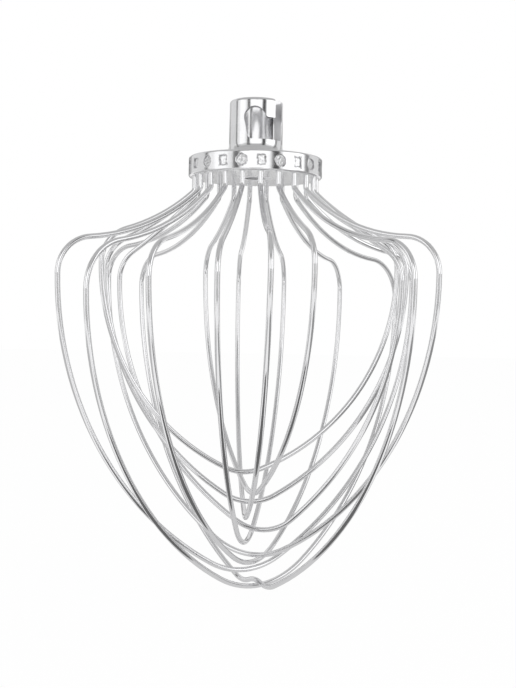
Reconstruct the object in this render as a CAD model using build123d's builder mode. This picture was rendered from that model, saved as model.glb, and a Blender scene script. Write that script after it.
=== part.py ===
# Wire whisk for a stand mixer: a steel hub with a bayonet drive socket, and eleven bent wire loops.
# The origin is the middle of the socket's mouth, +Z points up to the mixer, and -Y passes through the
# locking end of the bayonet slot.

import os
from collections import namedtuple
from math import atan, atan2, copysign, cos, degrees, radians, sin, sqrt

from build123d import *

# Driving dimensions, in millimetres and degrees

# Hub
ring_diameter = 50.0
ring_height = 7.5
ring_edge_radius = 0.8
socket_diameter = 20.0
socket_height = 21.5
socket_mouth_radius = 1.3
socket_base_radius = 5.0
bore_diameter = 12.8
bore_depth = 24.5
bore_lead_in = 0.5
drain_diameter = 7.7

# Bayonet slot, with depths below the mouth and angles round the axis from the locking end
pocket_radius = 4.0
pocket_top = 3.4
pocket_lean = 1.6
pocket_corner_radius = 2.0
tooth_depth = 7.3
tooth_corner_radius = 1.6
slot_floor = 15.5
entry_angle = 61.5
entry_width = 4.6

# Wires and their seats in the ring
wire_diameter = 1.9
seat_clearance = 0.05
seat_circle_diameter = 45.6
first_seat = 0.5  # of the pitch, from the locking end
seat_depth = 6.0
stub_length = 4.0
bend_radius = 3.0
bend_angle = 47.0
tight_shoulder = 13.0
round_shoulder = 17.0
whisk_reach = 83.0
whisk_depth = 153.0
hop_reach = 7.0
hop_gap = 0.3

# Staking marks on the ring's band, one for each wire end
stake_depth = 0.45
round_stake_diameter = 3.8
square_stake_width = 2.6
square_stake_height = 3.4
square_stake_corner = 0.6

# Loops from the shallowest to the deepest. place counts the seats round the ring from the locking end.
# reach is the greatest radius and tip the radius of the lowest arc. The loops are bent by hand: lean is how
# far the sides of a loop stand off the axis towards its seat, and sway how far its lowest arc does. These
# four are shares of the whisk's reach. tilt swings a loop sideways about its seats, in degrees. widest and
# depth are the drops from the ring to the greatest radius and to the lowest arc, as shares of the whisk's
# depth.
Loop = namedtuple("Loop", "place reach lean sway tilt widest depth tip_radius shoulder_radius hops")


def shaped(place, reach, lean, sway, tilt, widest, depth, tip, shoulder_radius=tight_shoulder, hops=False):
    return Loop(
        place,
        reach * whisk_reach,
        lean * whisk_reach,
        sway * whisk_reach,
        tilt,
        widest * whisk_depth,
        depth * whisk_depth,
        tip * whisk_reach,
        shoulder_radius,
        hops,
    )


loops = {
    "wire_01": shaped(-5, 0.687, 0.0, 0.023, 0.0, 0.214, 0.72, 0.213),
    "wire_02": shaped(1, 0.671, -0.005, 0.008, 0.25, 0.223, 0.771, 0.188),
    "wire_03": shaped(5, 0.681, 0.007, 0.0, 0.0, 0.227, 0.793, 0.22),
    "wire_04": shaped(0, 0.831, 0.0, 0.0, -0.7, 0.241, 0.831, 0.18),
    "wire_05": shaped(4, 0.676, 0.005, 0.054, 0.0, 0.248, 0.86, 0.218),
    "wire_06": shaped(-1, 0.764, -0.059, 0.025, -0.25, 0.246, 0.888, 0.314),
    "wire_07": shaped(3, 0.91, 0.019, 0.004, 0.0, 0.239, 0.922, 0.402),
    "wire_08": shaped(-2, 0.924, -0.051, -0.037, 0.4, 0.259, 0.942, 0.419),
    "wire_09": shaped(-4, 0.912, 0.017, 0.019, 0.0, 0.248, 0.959, 0.351),
    "wire_10": shaped(-3, 1.0, -0.051, -0.06, 0.7, 0.286, 1.0, 0.549, shoulder_radius=round_shoulder),
    "wire_11": shaped(2, 0.981, 0.022, 0.019, 0.7, 0.256, 0.993, 0.12, hops=True),
}

# Sizes that follow from those

quarter_turn = 90
ring_radius = ring_diameter / 2
socket_radius = socket_diameter / 2
bore_radius = bore_diameter / 2
drain_radius = drain_diameter / 2
hub_height = socket_height + ring_height
wire_radius = wire_diameter / 2
seat_circle_radius = seat_circle_diameter / 2
seat_count = 2 * len(loops)
seat_pitch = 360 / seat_count


def facing(angle, level=0):
    # upright plane on the axis that faces out at an angle from the locking end, with its Y up
    turn = radians(angle)
    return Plane((0, 0, level), x_dir=(cos(turn), sin(turn), 0), z_dir=(sin(turn), -cos(turn), 0))


def seat_angle(place):
    return (place + first_seat) * seat_pitch


def neck_and_shoulder(reach, widest, shoulder_radius):
    # radius of the neck arc that is tangent to the bend and to the shoulder arc, and the shoulder's turn; on
    # a narrow loop the radius comes out negative, and the neck bends the same way as the shoulder
    turn = radians(bend_angle)
    across = seat_circle_radius + bend_radius * (1 - cos(turn)) - (reach - shoulder_radius)
    above = widest - stub_length - bend_radius * sin(turn)
    slant = across * cos(turn) + above * sin(turn)
    radius = (across**2 + above**2 - shoulder_radius**2) / (2 * (shoulder_radius - slant))
    sense = copysign(1, radius)
    shoulder_turn = atan2(sense * (above + radius * sin(turn)), sense * (across + radius * cos(turn)))
    return abs(radius), degrees(shoulder_turn)


def flank(width, height, tip_radius):
    # radius and turn of the flank arc that is upright at the widest place and tangent to the tip arc
    above = height - tip_radius
    radius = (width**2 + above**2 - tip_radius**2) / (2 * (width - tip_radius))
    return radius, degrees(atan2(above, radius - width))


def hop(loop, under):
    # radius and turn of the two arcs that lift a loop over the one that crosses the axis under it
    crossing = under.depth - under.tip_radius + sqrt(under.tip_radius**2 - under.sway**2)
    rise = loop.depth - (crossing - wire_diameter - hop_gap)
    turn = 2 * atan(rise / hop_reach)
    return hop_reach / (2 * sin(turn)), degrees(turn)


def draw_half(loop, side):
    # half of a loop from its seat to its lowest point or, if it hops, to the top of the hump
    reach = loop.reach + side * loop.lean
    tip_centre = side * loop.sway + (hop_reach if loop.hops else 0)
    neck_radius, shoulder_turn = neck_and_shoulder(reach, loop.widest, loop.shoulder_radius)
    flank_radius, flank_turn = flank(reach - tip_centre, loop.depth - loop.widest, loop.tip_radius)
    seat = side * seat_circle_radius
    stub = Line((seat, seat_depth / 2 - seat_clearance), (seat, -seat_depth / 2 - stub_length))
    bend = JernArc(stub @ 1, stub % 1, bend_radius, side * bend_angle)
    neck = JernArc(bend @ 1, bend % 1, neck_radius, side * (shoulder_turn - bend_angle))
    shoulder = JernArc(neck @ 1, neck % 1, loop.shoulder_radius, -side * shoulder_turn)
    wall = JernArc(shoulder @ 1, shoulder % 1, flank_radius, -side * flank_turn)
    tip = JernArc(wall @ 1, wall % 1, loop.tip_radius, -side * (quarter_turn - flank_turn))
    if loop.hops:
        hop_radius, hop_turn = hop(loop, loops["wire_10"])
        rise = JernArc(tip @ 1, tip % 1, hop_radius, -side * hop_turn)
        JernArc(rise @ 1, rise % 1, hop_radius, side * hop_turn)
    return stub


os.makedirs("parts", exist_ok=True)

# Hub: one turned section, then the milled slot, the wire seats and the staking marks

with BuildPart() as hub:
    with BuildSketch(Plane.XZ) as section:
        with BuildLine():
            Polyline(
                (bore_radius, 0),
                (socket_radius, 0),
                (socket_radius, -socket_height),
                (ring_radius, -socket_height),
                (ring_radius, -hub_height),
                (drain_radius, -hub_height),
                (drain_radius, -bore_depth),
                (bore_radius, -bore_depth),
                close=True,
            )
        make_face()
        fillet(section.vertices().group_by(Axis.X)[-1], ring_edge_radius)
        fillet(section.vertices().sort_by_distance((socket_radius, -socket_height))[0], socket_base_radius)
        fillet(section.vertices().sort_by_distance((socket_radius, 0))[0], socket_mouth_radius)
        chamfer(section.vertices().sort_by_distance((bore_radius, 0))[0], bore_lead_in)
    revolve(axis=Axis.Z)

    # locking end: a pocket with a round top and a leaning wall, and the tooth's rounded corner beside it
    with BuildSketch(facing(0)) as pocket:
        pocket_centre = -pocket_top - pocket_radius
        pocket_foot = -pocket_radius + pocket_lean
        pocket_side = pocket_radius + 2 * tooth_corner_radius
        with Locations(Location((0, pocket_centre, 0), (0, 0, quarter_turn))):
            Circle(pocket_radius)
        with BuildLine():
            Polyline(
                (-pocket_radius, pocket_centre),
                (pocket_foot, -slot_floor),
                (pocket_side, -slot_floor),
                (pocket_side, -tooth_depth),
                (0, -tooth_depth),
                close=True,
            )
        make_face()
        fillet(pocket.vertices().sort_by_distance((pocket_radius, -tooth_depth))[0], tooth_corner_radius)
        fillet(pocket.vertices().sort_by_distance((pocket_foot, -slot_floor))[0], pocket_corner_radius)
    extrude(amount=ring_radius, mode=Mode.SUBTRACT)

    # run of the slot under the tooth, round to the entry
    with BuildSketch(Plane.XY.offset(-slot_floor)):
        with BuildLine():
            sweep_round = CenterArc((0, 0), ring_radius, -quarter_turn, entry_angle)
            Polyline(sweep_round @ 1, (0, 0), sweep_round @ 0)
        make_face()
    extrude(amount=slot_floor - tooth_depth, mode=Mode.SUBTRACT)

    # entry, open at the mouth
    with BuildSketch(facing(entry_angle)):
        with Locations((0, -slot_floor / 2)):
            Rectangle(entry_width, slot_floor)
    extrude(amount=ring_radius, mode=Mode.SUBTRACT)

    # blind seats for the wire ends
    with BuildSketch(Plane.XY.offset(-hub_height)):
        with PolarLocations(seat_circle_radius, seat_count, start_angle=seat_angle(0) - quarter_turn):
            Circle(wire_radius + seat_clearance)
    extrude(amount=seat_depth, mode=Mode.SUBTRACT)

    # staking marks, round and square by turns
    for seat in range(seat_count):
        with BuildSketch(facing(seat_angle(seat), -socket_height - ring_height / 2).offset(ring_radius)):
            if seat % 2:
                Circle(round_stake_diameter / 2)
            else:
                RectangleRounded(square_stake_width, square_stake_height, square_stake_corner)
        extrude(amount=-stake_depth, mode=Mode.SUBTRACT)

hub.part.label = "hub"
export_step(hub.part, "parts/hub.step")

# Wires: each loop is one bent wire in a plane that swings about the middle of its two seats

for name, loop in loops.items():
    with BuildPart() as wire:
        upright = facing(seat_angle(loop.place) - quarter_turn, seat_depth / 2 - hub_height)
        with BuildLine(upright * Rotation(loop.tilt, 0, 0)) as path:
            first_stub = draw_half(loop, 1)
            draw_half(loop, -1)
        with BuildSketch(Plane(first_stub @ 0, z_dir=first_stub % 0)):
            Circle(wire_radius)
        sweep(path=path.wire())
    wire.part.label = name
    export_step(wire.part, f"parts/{name}.step")
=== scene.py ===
import math

import bmesh
import bpy
from mathutils import Matrix, Vector


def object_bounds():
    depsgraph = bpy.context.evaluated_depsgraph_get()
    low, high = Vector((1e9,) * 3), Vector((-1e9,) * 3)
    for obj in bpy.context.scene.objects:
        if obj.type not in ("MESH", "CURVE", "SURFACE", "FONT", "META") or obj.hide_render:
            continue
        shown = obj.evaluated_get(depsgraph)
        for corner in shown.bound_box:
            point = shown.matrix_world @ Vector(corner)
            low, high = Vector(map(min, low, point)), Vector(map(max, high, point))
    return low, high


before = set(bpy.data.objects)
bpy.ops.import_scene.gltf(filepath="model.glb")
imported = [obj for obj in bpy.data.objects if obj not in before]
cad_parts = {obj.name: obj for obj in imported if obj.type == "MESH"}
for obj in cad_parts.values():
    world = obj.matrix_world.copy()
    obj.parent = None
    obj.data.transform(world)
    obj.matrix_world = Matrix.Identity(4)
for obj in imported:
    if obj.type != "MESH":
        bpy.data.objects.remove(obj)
cadLow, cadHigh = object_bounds()
print("frame loaded:", len(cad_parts), "CAD nodes")


# Shader maths: Python operators on a Signal add Math nodes to its tree
class Signal:
    def __init__(self, tree, socket=None):
        self.tree = tree
        self.socket = socket

    def node(self, kind, settings=None, inputs=None, out=0):
        made = self.tree.nodes.new(kind)
        for key, value in (settings or {}).items():
            setattr(made, key, value)
        for key, value in (inputs or {}).items():
            if isinstance(value, Signal):
                self.tree.links.new(value.socket, made.inputs[key])
            else:
                made.inputs[key].default_value = value
        return Signal(self.tree, made.outputs[out] if made.outputs else None)

    def math(self, operation, first, second=0):
        return self.node("ShaderNodeMath", {"operation": operation}, {0: first, 1: second})

    def __add__(self, other):
        return self.math("ADD", self, other)

    def __radd__(self, other):
        return self.math("ADD", other, self)

    def __sub__(self, other):
        return self.math("SUBTRACT", self, other)

    def __rsub__(self, other):
        return self.math("SUBTRACT", other, self)

    def __mul__(self, other):
        return self.math("MULTIPLY", self, other)

    def __rmul__(self, other):
        return self.math("MULTIPLY", other, self)

    def __lt__(self, other):
        return self.math("LESS_THAN", self, other)

    def __gt__(self, other):
        return self.math("GREATER_THAN", self, other)


def newMaterial(name):
    made = bpy.data.materials.new(name)
    made.use_nodes = True
    made.node_tree.nodes.clear()
    return made, Signal(made.node_tree)


def splitVector(vector):
    return [vector.node("ShaderNodeSeparateXYZ", None, {0: vector}, axis) for axis in range(3)]


def joinVector(x, y, z):
    return x.node("ShaderNodeCombineXYZ", None, {0: x, 1: y, 2: z})


def noise(vector, scale=1.0, detail=2.0):
    return vector.node("ShaderNodeTexNoise", None, {"Vector": vector, "Scale": scale, "Detail": detail})


# Metal: tone, roughness and height hold the weights of a look's patterns, and tone goes from shade to colour
def finishMetal(start, look, patterns):
    tone, roughness, height = [
        sum(patterns[name] * weight for name, weight in look[part].items())
        for part in ("tone", "roughness", "height")
    ]
    # sockets 6 and 7 and output 2 are the Mix node's colours
    colour = start.node(
        "ShaderNodeMix", {"data_type": "RGBA"}, {0: tone, 6: look["shade"], 7: look["colour"]}, 2
    )
    bump = start.node(
        "ShaderNodeBump", None, {"Strength": look["bump"], "Distance": look["relief"], "Height": height}
    )
    shader = start.node(
        "ShaderNodeBsdfPrincipled",
        None,
        {"Base Color": colour, "Metallic": 1.0, "Roughness": roughness, "Normal": bump},
    )
    start.node("ShaderNodeOutputMaterial", None, {"Surface": shader})


# Camera, set by fitting the traced wires: metres, degrees, and places in pixels of a 516 by 688 picture
cameraSetup = {
    "distance": 0.427,
    "azimuth": 3.23,
    "eyeLevel": -0.0821,
    "roll": 1.0,
    "focalPixels": 1136.4,
    "axisPixel": (252.7, 319.9),
    "picture": (516, 688),
    "sensor": 36.0,
    "clip": (0.01, 50.0),
}


def makeCamera(setup):
    width, height = setup["picture"]
    data = bpy.data.cameras.new("camera")
    data.sensor_width = setup["sensor"]
    data.lens = setup["sensor"] * setup["focalPixels"] / height
    data.shift_x = (width / 2 - setup["axisPixel"][0]) / height
    data.shift_y = (setup["axisPixel"][1] - height / 2) / height
    data.clip_start, data.clip_end = setup["clip"]
    made = bpy.data.objects.new("camera", data)
    turn = math.radians(setup["azimuth"])
    back = Vector((math.sin(turn), -math.cos(turn), 0))
    looking = (-back).to_track_quat("-Z", "Y").to_matrix().to_4x4()
    place = Matrix.Translation(back * setup["distance"] + Vector((0, 0, setup["eyeLevel"])))
    made.matrix_world = place @ looking @ Matrix.Rotation(math.radians(setup["roll"]), 4, "Z")
    bpy.context.scene.collection.objects.link(made)
    bpy.context.scene.camera = made


makeCamera(cameraSetup)
print("camera set")


# Seats of the wire ends round the ring, with a staking mark at each: the first is half a pitch from the slot
seats = {"count": 22, "first": 0.5}


# Hub: turned and polished stainless steel, with fine lines round the axis, a milled slot, a matt drain hole
# and a rough lip round each staking mark on the band, with painted shade darkening the edge of each mark
hubLook = {
    "colour": (0.86, 0.86, 0.87, 1),
    "shade": (0.5, 0.5, 0.51, 1),
    "tone": {
        "plain": 0.55,
        "lines": 0.3,
        "cloud": 0.3,
        "staked": 1.2,
        "peen": -2.4,
        # painted shade: the band along each mark's edge is darkened as if its walls were in shade
        "lipAndEdgeShade": -0.7,
        "milled": -0.3,
    },
    "roughness": {
        "plain": 0.1,
        "lines": 0.05,
        "cloud": 0.05,
        "staked": 0.08,
        "bore": 0.04,
        "drain": 0.3,
        "milled": 0.3,
    },
    "height": {"lines": 0.015, "lipAndEdgeShade": 0.6, "peen": 0.5},
    "bump": 0.6,
    "relief": 0.00025,
    "scales": {"lines": 9000.0, "round": 2.0, "cloud": 260.0, "peen": 1500.0, "wobble": 700.0},
    "detail": 3.0,
    "ringRadius": 0.025,
    "bandInside": 0.0243,
    "bandMiddle": -0.02525,
    "offBand": 0.01,  # gap that is added where there is no band
    "roundRadius": 0.0019,
    "squareHalf": (0.0013, 0.0017),
    # width of the raised lip and of the painted shade along each mark's edge
    "lipAndEdgeShade": 0.0004,
    "wobble": 0.0014,
    "boreRadius": 0.0066,
    "drainTop": -0.0244,
    "millRadius": 0.00985,
    "millTop": -0.0014,
    "millFloor": -0.0156,
}
noiseMiddle = 0.5  # a noise swings evenly about it


def stakeDistance(start, x, y, z, radius, look):
    turns = start.math("ARCTAN2", x, 0 - y) * (seats["count"] / math.tau) + seats["count"]
    pitch = math.tau / seats["count"] * look["ringRadius"]
    across = (start.math("FRACT", turns) - seats["first"]) * pitch
    level = z - look["bandMiddle"]
    isRound = start.math("MODULO", start.math("FLOOR", turns), 2)  # round and square by turns
    roundGap = start.math("SQRT", across * across + level * level) - look["roundRadius"]
    halfWidth, halfHeight = look["squareHalf"]
    sideGap = start.math("ABSOLUTE", across) - halfWidth
    endGap = start.math("ABSOLUTE", level) - halfHeight
    squareGap = start.math("MAXIMUM", sideGap, endGap)
    outside = (radius < look["bandInside"]) * look["offBand"]
    return roundGap * isRound + squareGap * (1 - isRound) + outside


def hubSteel(look):
    made, start = newMaterial("hubSteel")
    place = start.node("ShaderNodeTexCoord", None, None, "Object")
    x, y, z = splitVector(place)
    radius = start.math("SQRT", x * x + y * y)
    angle = start.math("ARCTAN2", y, x)
    scales = look["scales"]
    wobble = (noise(place, scales["wobble"]) - noiseMiddle) * look["wobble"]
    gap = stakeDistance(start, x, y, z, radius, look) + wobble
    staked = gap < 0
    inBore = radius < look["boreRadius"]
    slotSpan = (z < look["millTop"]) * (z > look["millFloor"])
    patterns = {
        "plain": 1,
        "lines": noise(joinVector(radius * scales["lines"], z * scales["lines"], angle * scales["round"])),
        "cloud": noise(place, scales["cloud"], look["detail"]),
        "staked": staked,
        "peen": noise(place, scales["peen"], look["detail"]) * staked,
        # this pattern raises a real lip through the bump and paints shade along each mark's edge through the
        # tone
        "lipAndEdgeShade": start.math("MAXIMUM", 1 - start.math("ABSOLUTE", gap) * (1 / look["lipAndEdgeShade"]), 0),
        "bore": inBore,
        "drain": inBore * (z < look["drainTop"]),
        "milled": (radius < look["millRadius"]) * slotSpan * (1 - inBore),
    }
    finishMetal(start, look, patterns)
    return made


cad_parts["hub"].data.materials[0] = hubSteel(hubLook)
print("hub finished")


# Wires: drawn stainless, with fine lines along each loop. A place counts the seats from the slot.
wireLook = {
    "colour": (0.88, 0.88, 0.89, 1),
    "shade": (0.74, 0.74, 0.75, 1),
    "tone": {"plain": 0.2, "lines": 0.5, "cloud": 0.5},
    "roughness": {"plain": 0.06, "lines": 0.05, "cloud": 0.05},
    "height": {"lines": 1.0},
    "bump": 0.04,
    "relief": 0.00001,
    "scales": {"across": 3000.0, "along": 60.0, "cloud": 90.0},
    "detail": 3.0,
    "places": {
        "wire_01": -5,
        "wire_02": 1,
        "wire_03": 5,
        "wire_04": 0,
        "wire_05": 4,
        "wire_06": -1,
        "wire_07": 3,
        "wire_08": -2,
        "wire_09": -4,
        "wire_10": -3,
        "wire_11": 2,
    },
}


def wireSteel(name, turn, look):
    made, start = newMaterial("wireSteel_" + name[-2:])
    place = start.node("ShaderNodeTexCoord", None, None, "Object")
    flat = start.node("ShaderNodeMapping", None, {"Vector": place, "Rotation": (0, 0, -turn)})
    x, y, z = splitVector(flat)
    scales = look["scales"]
    patterns = {
        "plain": 1,
        "lines": noise(joinVector(x * scales["across"], y * scales["along"], z * scales["along"])),
        "cloud": noise(place, scales["cloud"], look["detail"]),
    }
    finishMetal(start, look, patterns)
    return made


for name, place in wireLook["places"].items():
    turn = (place + seats["first"]) * math.tau / seats["count"]
    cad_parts[name].data.materials[0] = wireSteel(name, turn, wireLook)
print("wires finished:", len(wireLook["places"]))


# Floor: white to the camera and in the metal, with a faint shadow
floorSetup = {"size": (6.0, 6.0), "drop": 0.0003, "colour": (0.9, 0.9, 0.9, 1), "lift": 0.9, "white": 1.05}


def backgroundRays(start):
    seen, glossy, through = [
        start.node("ShaderNodeLightPath", None, None, way)
        for way in ("Is Camera Ray", "Is Glossy Ray", "Is Transmission Ray")
    ]
    return start.math("MINIMUM", seen + glossy + through, 1)


def flatSheet(name, size, place):
    mesh = bpy.data.meshes.new(name)
    work = bmesh.new()
    bmesh.ops.create_grid(work, x_segments=1, y_segments=1, size=1)  # two units wide
    bmesh.ops.scale(work, verts=work.verts, vec=(size[0] / 2, size[1] / 2, 1))
    bmesh.ops.transform(work, verts=work.verts, matrix=place)
    work.to_mesh(mesh)
    work.free()
    made = bpy.data.objects.new(name, mesh)
    bpy.context.scene.collection.objects.link(made)
    return made


def makeFloor(setup):
    made = flatSheet("floor", setup["size"], Matrix.Translation((0, 0, cadLow.z - setup["drop"])))
    material, start = newMaterial("floorWhite")
    matt = start.node("ShaderNodeBsdfDiffuse", None, {"Color": setup["colour"]})
    white = start.node("ShaderNodeEmission", None, {"Strength": setup["white"]})
    shown = backgroundRays(start) * setup["lift"]
    shader = start.node("ShaderNodeMixShader", None, {0: shown, 1: matt, 2: white})
    start.node("ShaderNodeOutputMaterial", None, {"Surface": shader})
    made.data.materials.append(material)


makeFloor(floorSetup)


# World: white behind the object and in its reflections, and a soft fill from all round
worldSetup = {"colour": (1, 1, 1, 1), "fill": 0.5}


def makeWorld(setup):
    world = bpy.data.worlds.new("world")
    bpy.context.scene.world = world
    world.use_nodes = True
    world.node_tree.nodes.clear()
    start = Signal(world.node_tree)
    strength = setup["fill"] + backgroundRays(start) * (1 - setup["fill"])
    sky = start.node("ShaderNodeBackground", None, {"Color": setup["colour"], "Strength": strength})
    start.node("ShaderNodeOutputWorld", None, {"Surface": sky})


makeWorld(worldSetup)
print("floor and world set")


# Studio: soft panels of light, and cards round the object and cloths on the floor that only its reflections
# show. The panels and cards face studioAim.
studioAim = Vector((0, 0, -0.06))
panels = {
    "frontPanel": {"azimuth": 3, "elevation": 14, "distance": 1.1, "size": (1.0, 0.7), "level": 0.3},
    "leftPanel": {"azimuth": -57, "elevation": 12, "distance": 1.0, "size": (0.46, 1.0), "level": 0.24},
    "rightPanel": {"azimuth": 72, "elevation": 12, "distance": 1.0, "size": (0.75, 1.0), "level": 0.48},
}
cards = {
    "leftCard": {"azimuth": -29, "elevation": 8, "distance": 0.9, "size": (0.18, 1.1), "tone": 0.13},
    "rightCard": {"azimuth": 38, "elevation": 8, "distance": 0.9, "size": (0.22, 1.1), "tone": 0.06},
    "leftStrip": {"azimuth": -88, "elevation": 5, "distance": 0.9, "size": (0.12, 1.4), "tone": 0.18},
    "rightStrip": {"azimuth": 101, "elevation": 5, "distance": 0.9, "size": (0.17, 1.4), "tone": 0.25},
    "leftLow": {"azimuth": -85, "elevation": -4, "distance": 0.95, "size": (0.6, 0.28), "tone": 0.58},
    "rightLow": {"azimuth": 90, "elevation": -4, "distance": 0.95, "size": (0.6, 0.28), "tone": 0.4},
    "cameraCard": {"azimuth": 3, "elevation": -7.5, "distance": 0.8, "size": (0.34, 0.28), "tone": 0.22},
    "backLeftStrip": {"azimuth": 217, "elevation": 8, "distance": 1.0, "size": (0.15, 1.1), "tone": 0.4},
    "backRightStrip": {"azimuth": 146, "elevation": 8, "distance": 1.0, "size": (0.15, 1.1), "tone": 0.4},
    "backStrip": {"azimuth": 183, "elevation": 0, "distance": 1.1, "size": (1.4, 0.5), "tone": 0.34},
    "backCard": {"azimuth": 183, "elevation": 20, "distance": 1.2, "size": (14.0, 2.6), "tone": 0.8},
    "ceilingCard": {"azimuth": 3, "elevation": 90, "distance": 1.2, "size": (4.4, 4.4), "tone": 0.53},
}
cloths = {
    "frontCloth": {"middle": (0.002, -0.09), "size": (0.11, 0.12), "tone": 0.15},
    "underCloth": {"middle": (0.0, 0.1), "size": (0.24, 0.26), "tone": 0.68},
    "leftCloth": {"middle": (-0.34, 0.0), "size": (0.44, 0.7), "tone": 0.55},
    "rightCloth": {"middle": (0.32, 0.0), "size": (0.4, 0.7), "tone": 0.3},
}


def studioPlace(setup):
    turn = math.radians(setup["azimuth"])
    rise = math.radians(setup["elevation"])
    out = Vector((math.sin(turn) * math.cos(rise), -math.cos(turn) * math.cos(rise), math.sin(rise)))
    facing = (-out).to_track_quat("-Z", "Y").to_matrix().to_4x4()
    return Matrix.Translation(studioAim + out * setup["distance"]) @ facing


def floorPlace(setup):
    return Matrix.Translation((*setup["middle"], cadLow.z - floorSetup["drop"] / 2))


def makePanel(name, setup):
    data = bpy.data.lights.new(name, "AREA")
    data.shape = "RECTANGLE"
    data.size, data.size_y = setup["size"]
    data.energy = setup["level"] * math.pi * data.size * data.size_y
    made = bpy.data.objects.new(name, data)
    made.matrix_world = studioPlace(setup)
    made.visible_camera = False
    bpy.context.scene.collection.objects.link(made)


def makeCard(name, setup, place):
    made = flatSheet(name, setup["size"], place)
    made.visible_camera = False
    made.visible_diffuse = False
    made.visible_shadow = False
    material, start = newMaterial(name)
    tone = setup["tone"]
    shader = start.node("ShaderNodeEmission", None, {"Color": (tone, tone, tone, 1), "Strength": 1.0})
    start.node("ShaderNodeOutputMaterial", None, {"Surface": shader})
    made.data.materials.append(material)


for name, setup in panels.items():
    makePanel(name, setup)
for name, setup in cards.items():
    makeCard(name, setup, studioPlace(setup))
for name, setup in cloths.items():
    makeCard(name, setup, floorPlace(setup))
bpy.context.scene.view_settings.view_transform = "Standard"
print("studio lit:", len(panels), "panels,", len(cards), "cards,", len(cloths), "cloths")
